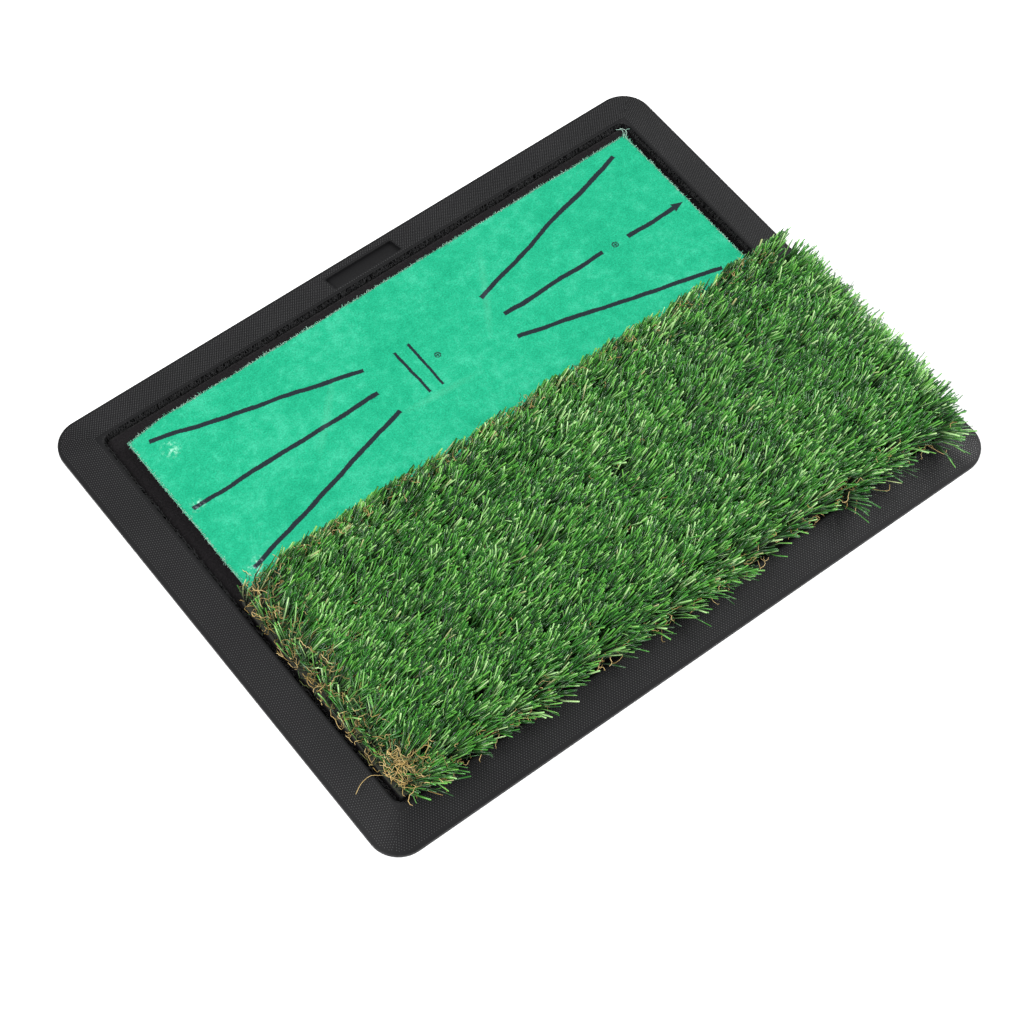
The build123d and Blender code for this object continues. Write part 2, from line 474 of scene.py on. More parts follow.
# %% One strand, laid along many paths
def strand_model(sides, stations):
    """A closed strand of unit size along Z, as rings of corners."""
    bm = bmesh.new()
    ring = bmesh.ops.create_circle(bm, cap_ends=True, segments=sides, radius=0.5)["verts"]
    for station in range(1, stations):
        cap = [face for face in bm.faces if all(vertex in ring for vertex in face.verts)]
        grown = bmesh.ops.extrude_face_region(bm, geom=cap)["geom"]
        ring = [item for item in grown if isinstance(item, bmesh.types.BMVert)]
        bmesh.ops.translate(bm, verts=ring, vec=(0, 0, 1))
        if station > 1:  # the extrusion leaves the old end inside the strand
            bmesh.ops.delete(bm, geom=cap, context="FACES_ONLY")
    print("strand model:", len(bm.verts), "corners,", len(bm.faces), "faces")
    bmesh.ops.recalc_face_normals(bm, faces=bm.faces)
    return model_arrays(bm)


map_margin = 0.02
patch_width = 0.02  # how wide a strand's own patch of the colour map is


def strands(name, paths, width, thickness, tones, taper, twist=None, foot=map_margin):
    """Copies of a strand along paths, an array of strand, station and place. taper scales the section
    at each station. tones gives each strand its place across the piece's own colour map, and foot where
    it starts up the map: 0 is the dark root of a strand deep in the pile, 1 its bright tip. Strands with
    a twist are four-sided blades, and the others three-sided fibres."""
    count, stations = paths.shape[:2]
    sides = 3 if twist is None else 4
    places, faces = strand_model(sides, stations)
    station = places[:, 2].round().astype(int)
    ahead = np.gradient(paths, axis=1)
    ahead /= np.maximum(np.linalg.norm(ahead, axis=2, keepdims=True), 1e-12)
    level = np.cross((0.0, 0.0, 1.0), ahead)
    level /= np.maximum(np.linalg.norm(level, axis=2, keepdims=True), 1e-6)
    upward = np.cross(ahead, level)
    if twist is not None:
        turn = twist[:, :, None]
        level, upward = (
            np.cos(turn) * level - np.sin(turn) * upward,
            np.cos(turn) * upward + np.sin(turn) * level,
        )
    wide = (np.asarray(width)[:, None] * taper)[:, station, None]
    thick = (np.asarray(thickness)[:, None] * taper)[:, station, None]
    points = (
        paths[:, station]
        + places[None, :, 0, None] * wide * level[:, station]
        + places[None, :, 1, None] * thick * upward[:, station]
    )
    across = tones[:, None] * (1 - patch_width) + patch_width * (places[None, :, 0] + 0.5)
    foot = np.broadcast_to(foot, count)[:, None]
    along = foot + (1 - map_margin - foot) * station / (stations - 1)
    return copies(name, points, faces, across, along)


def smooth_path(points, stations):
    """A smooth curve through a few points, given in millimetres."""
    points = np.array(points) * MM
    padded = np.concatenate([[2 * points[0] - points[1]], points, [2 * points[-1] - points[-2]]])
    place = np.linspace(0, len(points) - 1.001, stations)
    step, share = place.astype(int), (place % 1)[:, None]
    a, b, c, d = (padded[step + ahead] for ahead in range(4))
    return b + share * (
        (c - a) / 2 + share * ((2 * a - 5 * b + 4 * c - d) / 2 + share * (3 * b - a - 3 * c + d) / 2)
    )

# %% [markdown]
# A path is drawn as a walk: each step has a heading in plan and a climb. Steps that turn at random give
# the curl of a crimped fibre, and steps whose climb falls steadily give a bent blade. Other helpers find
# places along a knife cut, and lift what would sink into the tray or a pad.

# %% Walks for curled fibres
def directions(heading, climb):
    """Unit steps with a heading in plan and a climb, both in radians."""
    flat = np.cos(climb)
    return np.stack([flat * np.cos(heading), flat * np.sin(heading), np.sin(climb)], 1)


climb_spread = 0.6


def curled_paths(rng, roots, length, stations, lift, turn):
    """Paths that wander from their roots: lift is the mean climb, turn how sharply they kink."""
    count = len(roots)
    heading = rng.uniform(0, 2 * math.pi, count)
    path = [roots]
    for _ in range(stations - 1):
        heading = heading + rng.normal(0, turn, count)
        climb = rng.normal(lift, climb_spread, count)
        path.append(path[-1] + directions(heading, climb) * (length / (stations - 1))[:, None])
    return np.stack(path, 1)


# %% Places along a cut edge, and rest on what lies below
def edge_places(rng, count, low, high, cut):
    """Places along a slab's cut edge, with the direction that points outwards at each."""
    size, middle = high - low, (high + low) / 2
    along = rng.uniform(0, 2 * (size.x + size.y), count)
    places, outward = [], []
    for run in along:
        side = 1 if run < size.x + size.y else -1
        run = run % (size.x + size.y)
        if run < size.x:
            spot, normal = Vector((run - size.x / 2, size.y / 2)), Vector((0, 1))
        else:
            spot, normal = Vector((size.x / 2, run - size.x - size.y / 2)), Vector((1, 0))
        spot, normal = spot * side, normal * side
        for axis in (0, 1):
            edge = size[axis] / 2 - cut(spot.x, spot.y, axis)
            spot[axis] = max(-edge, min(edge, spot[axis]))
        places.append((spot.x + middle.x, spot.y + middle.y))
        outward.append(normal[:])
    return np.array(places), np.array(outward)


def within(x, y, low, high, margin=0.0):
    """Whether points lie inside a box seen from above, made wider in x by a margin."""
    return (x > low.x - margin) & (x < high.x + margin) & (y > low.y) & (y < high.y)


def rest_on(paths, clearance):
    """Lifts points that would lie inside the tray, the liner or the velvet."""
    x, y = paths[:, :, 0], paths[:, :, 1]
    over_velvet = within(x, y, velvet_low, velvet_high)
    floor = np.where(over_velvet, velvet_high.z, tray_height(x, y)) + clearance
    paths[:, :, 2] = np.maximum(paths[:, :, 2], floor)
    return paths


# %% [markdown]
# Fleece seen up close is a mat of loops, too fine and too many to make one by one all over. Enough real
# fibres stand on the strip that shows round the pads to break its outline, and longer ones lean against
# the recess wall, where the sheet was pushed into the corner.

# %% Fibres on the liner
def liner_fuzz(count):
    """Short curled fibres on the part of the liner that the pads leave open."""
    rng = np.random.default_rng(11)
    x = rng.uniform(liner_low.x, liner_high.x, 6 * count)
    y = rng.uniform(liner_low.y, liner_high.y, 6 * count)
    covered = within(x, y, velvet_low, velvet_high, 1 * MM) | within(x, y, backing_low, backing_high)
    seen = np.flatnonzero(~covered)[:count]
    roots = np.stack([x[seen], y[seen], np.full(len(seen), liner_high.z - 0.25 * MM)], 1)
    length = rng.uniform(1.0, 2.4, len(seen)) * MM
    paths = curled_paths(rng, roots, length, stations=5, lift=0.35, turn=1.1)
    size = np.full(len(seen), 0.16 * MM)
    taper = np.array([1, 1, 0.9, 0.8, 0.4])[None]
    return strands("liner_fuzz", rest_on(paths, -0.1 * MM), size, size, rng.random(len(seen)), taper)


def liner_fray(count):
    """Loops that stand up against the recess wall and spill a little over the lip."""
    rng = np.random.default_rng(12)
    places, outward = edge_places(rng, 2 * count, liner_low, liner_high, lambda x, y, axis: 0.6 * MM)
    seen = np.flatnonzero((places[:, 1] > 0) | (places[:, 0] < backing_low.x))[:count]
    places, outward = places[seen], outward[seen]
    heading = np.arctan2(outward[:, 1], outward[:, 0]) + rng.normal(0, 0.8, len(seen))
    reach = rng.uniform(3.2, 5.4, len(seen)) * MM
    path = [np.column_stack([places, np.full(len(seen), liner_high.z - 0.3 * MM)])]
    for mean_climb in (1.45, 1.1, 0.3):
        climb = mean_climb + rng.normal(0, 0.25, len(seen))
        path.append(path[-1] + directions(heading, climb) * reach[:, None] / 3)
    size = np.full(len(seen), 0.3 * MM)
    taper = np.array([1, 1, 0.9, 0.6])[None]
    return strands("liner_fray", rest_on(np.stack(path, 1), 0.0), size, size, rng.random(len(seen)), taper)


# %% Yarn finish
buried = (0.004, 0.007, 0.003, 1)  # the near-black of yarn that no light reaches


def yarn_finish(name, stops, roughness, root_shade=1.0, lit=(0.2, 0.85)):
    """Colour across the map by tone, with painted shade towards the root. lit is the stretch over which it
    brightens.
    """
    tree = Tree(name)
    place = tree.add("SeparateXYZ", {0: tree.add("TexCoord").outputs["UV"]})
    tone = tree.ramp(place.outputs["X"], stops)
    # painted shade: each yarn darkens towards its root, standing in for the shadow deep in the pile
    shade = tree.remap(place.outputs["Y"], *lit, root_shade)
    dull = tree.remap(place.outputs["Y"], 0.2, 0.8, 0.85, roughness)
    tree.set(Base_Color=tree.blend(shade, buried, tone), Roughness=dull)
    return tree.material


fuzz_yarn = yarn_finish("fuzz_yarn", [(0.0, rgb(6, 6, 7)), (1.0, rgb(34, 34, 36))], 0.8)
for fibres in (liner_fuzz(2600), liner_fray(3000)):
    add_piece(fibres, "base", fuzz_yarn)

# %% [markdown]
# ## Velvet strike pad
# The pad is a sandwich: foam rubber, a woven ground cloth, and the short dense pile that grows from it.
# A clubhead brushes the pile and leaves a mark, which is what the pad is for. Printed lines fan out on
# both sides of the hitting zone. The print follows the pile, so its edges are soft and a little uneven.

# %% The printed lines, as distances in the pad's own plane
pad_middle = (velvet_low + velvet_high) / 2
print_middle = Vector((pad_middle.x - 2.9 * MM, pad_middle.y + 0.4 * MM))
line_width = 2.85 * MM
thin_width = 1.6 * MM
fan_inner = Vector((41.8 * MM, 17.2 * MM))
fan_outer = Vector((165.6 * MM, 51.0 * MM))
ring_places = (-2.4 * MM, 126.2 * MM)
ring_radius = 1.7 * MM
ring_line = 0.55 * MM
ring_cross = 1.3 * MM
arrow_tip = 178.0 * MM
arrow_length = 7.5 * MM
arrow_half_height = 3.1 * MM


def strokes():
    """Every straight stroke: its two ends, from the print's middle, and its width."""
    lines = [
        ((side * fan_inner.x, flip * fan_inner.y), (side * fan_outer.x, flip * fan_outer.y), line_width)
        for side in (-1, 1) for flip in (-1, 1)
    ]
    lines += [
        ((-171.0 * MM, 0), (-44.3 * MM, 0), line_width),
        ((45.2 * MM, 0), (117.0 * MM, 0), line_width),
        ((135.6 * MM, 0), (171.5 * MM, 0), line_width),
        ((-20.6 * MM, -17.3 * MM), (-20.6 * MM, 16.9 * MM), thin_width),
        ((-11.8 * MM, -17.3 * MM), (-11.8 * MM, 17.1 * MM), thin_width),
    ]
    for x in ring_places:
        lines.append(((x - ring_cross, 0), (x + ring_cross, 0), ring_line))
        lines.append(((x, -ring_cross), (x, ring_cross), ring_line))
    return lines


def along_stroke(tree, coords, start, end, scale=(1.0, 1.0, 1.0)):
    """Coordinates with their middle on a stroke's middle and X along it."""
    middle, run = (start + end) / 2, end - start
    inputs = {
        "Vector": coords,
        "Location": (middle.x, middle.y, 0),
        "Rotation": (0, 0, math.atan2(run.y, run.x)),
        "Scale": scale,
    }
    return tree.add("Mapping", inputs, vector_type="TEXTURE").outputs[0]


def print_distance(tree, coords):
    """A socket that is negative inside the print, in metres."""
    flat = tree.vector("MULTIPLY", coords, (1, 1, 0))
    parts = []
    for start, end, width in strokes():
        start, end = print_middle + Vector(start), print_middle + Vector(end)
        side = tree.vector("ABSOLUTE", along_stroke(tree, flat, start, end))
        over = tree.vector("SUBTRACT", side, ((end - start).length / 2, width / 2, 0))
        split = tree.add("SeparateXYZ", {0: over})
        parts.append(tree.math("MAXIMUM", split.outputs["X"], split.outputs["Y"]))
    for x in ring_places:
        centre = (print_middle.x + x, print_middle.y, 0)
        band = tree.math("ABSOLUTE", tree.math("SUBTRACT", tree.distance(flat, centre), ring_radius))
        parts.append(tree.math("SUBTRACT", band, ring_line / 2))
    place = tree.add("SeparateXYZ", {0: flat})
    back = tree.math("SUBTRACT", print_middle.x + arrow_tip, place.outputs["X"])
    aside = tree.math("ABSOLUTE", tree.math("SUBTRACT", place.outputs["Y"], print_middle.y))
    slant = tree.math("MULTIPLY", back, arrow_half_height / arrow_length)
    flank, barb = tree.math("SUBTRACT", aside, slant), tree.math("SUBTRACT", back, arrow_length)
    parts.append(tree.math("MAXIMUM", flank, barb))
    nearest = parts[0]
    for part in parts[1:]:
        nearest = tree.math("MINIMUM", nearest, part)
    return nearest

# %% [markdown]
# Velvet is never one even green: the nap leans this way and that, so there are broad clouds, hand-sized
# strokes and a fine grain, and here and there it is rubbed pale. Along the lines where it was folded, pale
# lines of painted highlight stand for the light on each fold. The print lies in the same material as a mask,
# because ink is part of the pile and wears off with it.

# %% Wear of the nap, and painted highlight along folds
worn_spots = (((-159.5, 112.0), 7.0), ((-167.0, 19.0), 6.5), ((-168.5, 73.0), 5.5), ((-162.0, 24.0), 4.0))
# the fold lines are painted highlight; the sheet's shape has no folds
fold_light_lines = (((-43.0, 52.8), (7.0, 49.0)), ((-60.0, 96.0), (-96.0, 58.0)), ((60.0, 116.0), (28.0, 64.0)))
fold_light_width = 3.2 * MM
spot_strength, fold_light_strength = 0.85, 0.05


def wear_and_fold_light(tree, coords):
    """1 where the nap is rubbed pale: streaks in a few spots of wear, and soft pale lines of painted
    highlight where the velvet was folded. Spots are a middle and a radius, and fold lines two ends, all in
    millimetres."""
    streaks = tree.remap(tree.noise(coords, 2.6 * MM, detail=5.0, rough=0.75), 0.5, 0.66)
    spots, lines = 0.0, 0.0
    for (x, y), radius in worn_spots:
        away = tree.distance(coords, (x * MM, y * MM, velvet_high.z))
        near = tree.remap(away, radius * MM, 0.3 * radius * MM)
        spots = tree.math("MAXIMUM", near, spots)
    # painted highlight: a pale line along each fold
    for start, end in fold_light_lines:
        start, end = Vector(start) * MM, Vector(end) * MM
        scale = (0.6 * (end - start).length, fold_light_width, 1.0)
        away = tree.distance(along_stroke(tree, coords, start, end, scale))
        lines = tree.math("MAXIMUM", tree.remap(away, 1.0, 0.2), lines)
    spots = tree.math("MULTIPLY", tree.math("MULTIPLY", spots, streaks), spot_strength)
    return tree.math("MAXIMUM", spots, tree.math("MULTIPLY", lines, fold_light_strength))


# %% Velvet finish
velvet_greens = [(0.36, rgb(18, 138, 102)), (0.5, rgb(28, 148, 111)), (0.64, rgb(48, 160, 125))]
tuft_shades = [(0.34, (0.74, 0.8, 0.78, 1)), (0.66, (1.24, 1.2, 1.2, 1))]
worn_and_fold_lit_pile, worn_and_fold_lit_ink = rgb(158, 214, 190), rgb(130, 146, 152)
print_stray = 4.0 * MM  # how far the hand-laid print strays from its straight lines
print_ragged = 0.7 * MM


def velvet_finish():
    tree = Tree("printed_velvet")
    coords = tree.object_coords()
    nap = tree.noise(coords, 45 * MM, detail=3.0, rough=0.6)
    brushed = tree.noise(coords, 7 * MM, detail=3.0, rough=0.6)
    tuft = tree.noise(coords, 0.9 * MM, rough=0.7)
    grain = tree.noise(coords, 2.4 * MM, rough=0.6)
    lay = tree.math("ADD", tree.math("MULTIPLY", nap, 0.32), tree.math("MULTIPLY", brushed, 0.5))
    lay = tree.math("ADD", lay, tree.math("MULTIPLY", grain, 0.18))
    pile = tree.add(
        "Mix", {0: 1.0, 6: tree.ramp(lay, velvet_greens), 7: tree.ramp(tuft, tuft_shades)},
        data_type="RGBA", blend_type="MULTIPLY",
    ).outputs[2]
    strayed = tree.add("TexNoise", {"Vector": coords, "Scale": 1 / (30 * MM), "Detail": 3.0}).outputs["Color"]
    shift = tree.vector("SUBTRACT", strayed, (0.5, 0.5, 0.5))
    shift = tree.vector("MULTIPLY", shift, (print_stray, print_stray, print_stray))
    moved = tree.vector("ADD", coords, shift)
    ragged = tree.math("MULTIPLY", tree.math("SUBTRACT", tuft, 0.5), print_ragged)
    inside = tree.math("ADD", print_distance(tree, moved), ragged)
    # This mask holds real wear and also painted highlight along the folds, so pile and ink both turn pale
    # there.
    worn_and_fold_lit = wear_and_fold_light(tree, coords)
    inked = tree.blend(tuft, rgb(9, 16, 20), rgb(38, 48, 54))
    return tree.two_tone(
        tree.remap(inside, 0.2 * MM, -0.15 * MM),
        tree.blend(worn_and_fold_lit, pile, worn_and_fold_lit_pile), tree.blend(worn_and_fold_lit, inked, worn_and_fold_lit_ink),
        roughness=0.85, raised=tuft, depth=0.35 * MM, strength=0.6,
        Specular_IOR_Level=0.1, Sheen_Weight=0.03, Sheen_Roughness=0.4, Sheen_Tint=rgb(190, 245, 225),
    )


# %% Velvet face
corner_cut_length = 24 * MM
corner_cut_depth = 3.2  # millimetres


def velvet_cut(x, y, axis):
    """The knife wandered, and it trimmed the far left corner with a long slanting cut."""
    size = velvet_high - velvet_low
    slant = 1 - (x + size.x / 2) / corner_cut_length if axis == 1 and y > 0 else 0
    wander = 0.3 + abs(0.6 * lumps(x, y, 30 * MM, 21)) + abs(0.5 * lumps(x, y, 5 * MM, 22))
    return MM * (wander + corner_cut_depth * max(0, slant))


velvet_face = add_piece(
    cut_slab(
        "velvet_face", velvet_low, velvet_high, 1.1 * MM, cut=velvet_cut,
        hollow=lambda x, y: MM * (
            0.3 + 0.16 * lumps(x, y, 22 * MM, 23) + 0.07 * lumps(x, y, 1.6 * MM, 24)
        ),
        edge_roll=0.35 * MM,
    ),
    "velvet_pad", velvet_finish(),
)
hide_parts("velvet_pile")

# %% [markdown]
# Under the pile lie the woven ground cloth that it grows from and the foam rubber that gives it body. Only
# their cut edges show. The cloth's edge frays, so short fibres stand out all round, paler than the face
# because the dye and the nap don't reach them.

# %% Foam and ground cloth
def foam_finish():
    tree = Tree("foam_rubber")
    cells = tree.cells(tree.object_coords(), 0.8 * MM)
    return tree.two_tone(cells, rgb(14, 15, 15), rgb(38, 40, 40), 0.9, raised=cells, depth=0.3 * MM)


def ground_finish():
    tree = Tree("ground_cloth")
    coords = tree.object_coords()
    weave = tree.add("TexWave", {"Vector": coords, "Scale": 60.0, "Distortion": 1.0}).outputs["Fac"]
    fray = tree.noise(coords, 1.5 * MM, detail=3.0)
    pale, dull = rgb(116, 172, 148), rgb(44, 128, 98)
    return tree.two_tone(fray, dull, pale, 0.9, raised=weave, depth=0.2 * MM, strength=0.5)


foam_low, foam_high = (Vector(corner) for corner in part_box("velvet_foam_backing"))
foam_slab = add_piece(
    cut_slab(
        "velvet_foam", foam_low, foam_high, 4 * MM,
        cut=lambda x, y, axis: velvet_cut(x, y, axis) + 0.3 * MM, edge_roll=0.2 * MM,
    ),
    "velvet_pad", foam_finish(),
)
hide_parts("velvet_foam_backing")

cloth_low, cloth_high = (Vector(corner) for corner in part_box("velvet_ground_cloth"))
ground_cloth = add_piece(
    cut_slab(
        "velvet_ground", cloth_low, cloth_high, 3 * MM,
        cut=lambda x, y, axis: velvet_cut(x, y, axis) - 0.15 * MM,
    ),
    "velvet_pad", ground_finish(),
)
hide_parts("velvet_ground_cloth")

# %% Frayed fibres round the velvet
def velvet_fringe(count):
    """Short bent fibres that stand out from the cut edge all round."""
    rng = np.random.default_rng(5)
    places, outward = edge_places(rng, count, velvet_low, velvet_high, velvet_cut)
    turn = np.arctan2(outward[:, 1], outward[:, 0]) + rng.normal(0, 0.7, count)
    climb = rng.normal(0.35, 0.5, count)
    bend = rng.normal(0, 0.5, (2, count))
    length = rng.gamma(5.0, 0.2, count) * MM
    root_z = rng.uniform(cloth_low.z + 0.3 * MM, velvet_high.z - 0.3 * MM, count)
    path = [np.column_stack([places - 0.8 * MM * outward, root_z])]
    for _ in range(3):
        path.append(path[-1] + directions(turn, climb) * (length[:, None] + 0.5 * MM) / 3)
        turn, climb = turn + bend[0], climb + bend[1]
    size = np.full(count, 0.24 * MM)
    taper = np.array([1, 1, 0.9, 0.6])[None]
    return strands("velvet_fringe", np.stack(path, 1), size, size, rng.random(count), taper)


fringe_yarn = yarn_finish(
    "fringe_yarn", [(0.0, rgb(60, 160, 124)), (0.4, rgb(118, 190, 162)), (1.0, rgb(196, 220, 208))], 0.8,
    root_shade=0.8,
)
fringe = add_piece(velvet_fringe(6200), "velvet_pad", fringe_yarn)

# %% [markdown]
# At one corner the cut has let a few whole threads go, and they lie out over the recess. There are only
# three, so each is drawn through a few listed points and smoothed.

# %% Loose threads at the velvet's far right corner
corner_threads = (
    [(178.5, 130.5, 10), (180.5, 133.5, 11), (181.5, 136, 10.5), (179, 138.5, 10)],
    [(179.5, 130, 10), (182.5, 132.5, 11), (183, 135, 10.5), (181.5, 138, 10)],
    [(180, 131, 10), (181.5, 133, 10.5), (184, 134.5, 10.5), (186, 134, 10)],
)
thread_paths = rest_on(np.stack([smooth_path(points, 8) for points in corner_threads]), 0.3 * MM)
thread_width = np.full(len(thread_paths), 0.34 * MM)
thread_tone = np.array([0.75, 0.9, 0.6])
loose_threads = add_piece(
    strands("velvet_loose_threads", thread_paths, thread_width, thread_width, thread_tone, np.ones((1, 8))),
    "velvet_pad", fringe_yarn,
)

# %% [markdown]
# ## Turf pad
# Artificial turf is yarn tufted through a woven backing in rows. Each stitch stands up as a bunch of flat
# green blades, with curled yarns round its foot that hold it upright. Here the pile has been pressed over
# in one direction, as it comes out of its parcel, so the blades lean towards +X and the thatch shows at
# the other end.

# %% Where the stitches are
row_gauge = 9.2 * MM
stitch_pitch = 6.0 * MM
pile_foot = backing_high.z


def stitches(rng):
    """A point for each stitch, in rows that run along X."""
    rows = round((backing_high.y - backing_low.y) / row_gauge)
    columns = round((backing_high.x - backing_low.x) / stitch_pitch)
    y = backing_low.y + (np.arange(rows) + 0.5) * (backing_high.y - backing_low.y) / rows
    x = backing_low.x + (np.arange(columns) + 0.5) * (backing_high.x - backing_low.x) / columns
    grid = np.stack(np.meshgrid(x, y), -1).reshape(-1, 2)
    return grid + rng.normal(0, 0.5 * MM, grid.shape)


def nearness(distance, reach):
    """1 at an edge, falling to 0 at reach from it."""
    return np.clip(1 - distance / reach, 0, 1)


# %% [markdown]
# The backing is a black plain weave, and under it a coat of latex locks the yarn in. They show at the cut
# edges, and whole when the pad is lifted. The coat keeps its CAD shape, and the cloth is cut like the rest.

# %% Backing cloth and latex
warp_pitch, weft_pitch = 1.6 * MM, 1.1 * MM


def primary_finish():
    tree = Tree("primary_weave")
    coords = tree.object_coords()
    place = tree.add("SeparateXYZ", {0: coords})
    warp, weft = (
        tree.math("SINE", tree.math("MULTIPLY", place.outputs[axis], 2 * math.pi / pitch))
        for axis, pitch in (("X", warp_pitch), ("Y", weft_pitch))
    )
    weave = tree.math("MULTIPLY", warp, weft)
    dust = tree.noise(coords, 3 * MM, detail=3.0)
    return tree.two_tone(dust, rgb(16, 18, 12), rgb(40, 42, 26), 0.75, raised=weave, depth=0.25 * MM)


def latex_finish():
    tree = Tree("latex_black")
    coords = tree.object_coords()
    dimples = tree.cells(coords, 4 * MM, feature="SMOOTH_F1")
    smear = tree.noise(coords, 12 * MM, detail=4.0)
    dark, light = rgb(14, 14, 15), rgb(30, 30, 31)
    return tree.two_tone(smear, dark, light, 0.45, raised=dimples, depth=0.8 * MM, strength=0.6)


nodes["turf_latex_coat"].material_slots[0].material = latex_finish()
primary_backing = add_piece(
    cut_slab(
        "primary_backing", backing_low, backing_high, 3 * MM,
        cut=lambda x, y, axis: MM * abs(0.4 * lumps(x, y, 20 * MM, 41)),
    ),
    "turf_pad", primary_finish(),
)
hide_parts("turf_primary_backing")

# %% [markdown]
# Thatch is the crimped yarn among the straight blades, part straw-coloured and part green. Under the pile
# it only fills the dark, but it comes to light wherever the blades part. One function makes a batch of
# curls from their roots, and each place on the pad gets its own batch.

# %% A batch of thatch
thatch_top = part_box("turf_thatch")[1][2]
thatch_taper = np.array([0.9, 1, 1, 1, 1, 1, 0.95, 0.85, 0.5])
left_limit = backing_low.x - 1 * MM

thatch_yarn = yarn_finish(
    "thatch_yarn",
    [
        (0.0, rgb(22, 44, 14)),
        (0.35, rgb(56, 90, 34)),
        (0.55, rgb(112, 100, 46)),
        (0.75, rgb(172, 142, 78)),
        (1.0, rgb(216, 190, 132)),
    ],
    0.5,
    root_shade=0.2,
)


def keep_right(paths, most):
    """Presses points that stray past the pad's left end back to within most of it, softly."""
    spill = np.maximum(left_limit - paths[:, :, 0], 0)
    paths[:, :, 0] += spill - most * np.tanh(spill / (2 * most))


def thatch_yarns(name, seed, x, y, z, length, lift, headroom, tan, turn=0.75, foot=0.8):
    """Curled yarns from their roots, pressed softly under a ceiling that is headroom above the thatch's
    own top. length is a shortest and a longest, in millimetres. tan is the share of straw-coloured yarns
    among the green ones, and foot tells how far up the painted root shade they start: curls that lie
    open start higher, so they are painted brighter."""
    rng = np.random.default_rng(seed)
    count = len(x)
    lengths = rng.uniform(*length, count) * MM
    paths = curled_paths(rng, np.column_stack([x, y, z]), lengths, len(thatch_taper), lift, turn)
    keep_right(paths, 3 * MM)
    over = np.maximum(paths[:, :, 2] - thatch_top - headroom, 0)
    paths[:, :, 2] += 2 * MM * np.tanh(over / (4 * MM)) - over
    width = rng.uniform(0.32, 0.5, count) * MM
    tone = np.where(rng.random(count) < tan, rng.uniform(0.6, 1, count), rng.uniform(0, 0.5, count))
    mesh = strands(
        name, rest_on(paths, 0.3 * MM), width, 0.7 * width, tone, thatch_taper[None], foot=foot
    )
    return add_piece(mesh, "turf_pad", thatch_yarn)


# %% Thatch over the whole pad
def thatch():
    """Thatch under the whole pile, and more of it where the pile opens: at the left end, along the far
    and near edges, in the two left corners, and here and there among the blade tips."""
    rng = np.random.default_rng(23)
    low, high = backing_low, backing_high
    foot = pile_foot - 0.1 * MM
    count = 2200
    spots = rng.permutation(np.concatenate([stitches(rng)] * 3))[:count]
    spots = spots + rng.normal(0, 1.6 * MM, (count, 2))
    spots = spots[spots[:, 0] > low.x + rng.uniform(0, 14 * MM, count)]
    deep = np.full(len(spots), foot)
    # The last number of each batch is its foot: curls that lie open start higher up the painted root shade,
    # so they are painted brighter.
    batches = [("field", 31, *spots.T, deep, (7, 12), 0.5, 0.0, 0.5, 0.95, 0.02)]

    count = 430
    inward = rng.gamma(2.2, 5.0, count) * MM
    y = rng.uniform(low.y + 1 * MM, high.y - 8 * MM, count)
    z = foot + 2 * MM + rng.uniform(0.5, 1.4, count) * np.clip(inward, 0, 14 * MM)
    batches.append(("end", 32, low.x + inward, y, z, (9, 18), 0.1, 11 * MM, 0.62, 0.75, 0.35))

    count = 420
    x = rng.uniform(low.x, high.x, count)
    y = high.y - rng.gamma(1.5, 3.0, count) * MM
    z = foot + rng.uniform(15 * MM, 22 * MM, count)
    batches.append(("far_edge", 33, x, y, z, (5, 9), 0.0, 14 * MM, 0.65, 0.75, 0.4))

    count = 260
    x = rng.uniform(low.x + 10 * MM, high.x + 12 * MM, count)
    y = rng.uniform(low.y, high.y, count)
    z = foot + rng.uniform(13 * MM, 17 * MM, count)
    batches.append(("strays", 34, x, y, z, (5, 10), 0.1, 12 * MM, 0.8))

    x = rng.uniform(low.x + 8 * MM, high.x + 14 * MM, count)
    y = low.y - rng.uniform(-4 * MM, 8 * MM, count)
    z = foot + rng.uniform(6 * MM, 15 * MM, count)
    batches.append(("near_edge", 37, x, y, z, (6, 12), -0.3, 9 * MM, 0.85, 0.75, 0.6))

    count = 60
    x = low.x + rng.normal(13, 5, count) * MM
    y = low.y + rng.normal(9, 6, count) * MM
    z = foot + rng.uniform(5 * MM, 14 * MM, count)
    batches.append(("near_corner", 35, x, y, z, (12, 22), 0.1, 11 * MM, 0.9))

    count = 24
    x = low.x + rng.uniform(5 * MM, 14 * MM, count)
    y = high.y - rng.uniform(4 * MM, 16 * MM, count)
    z = foot + rng.uniform(0, 5 * MM, count)
    batches.append(("far_corner", 36, x, y, z, (9, 16), 0.15, 4 * MM, 0.9))
    return [thatch_yarns("turf_thatch_" + place, *batch) for place, *batch in batches]


thatch_pieces = thatch()
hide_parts("turf_thatch")

# %% [markdown]
# A few long strands hang out past the turf's edges and curl on the rims. Chance would put them anywhere, so
# these are drawn through listed points like the velvet's threads. Each starts inside the turf, so that it
# lifts with it.

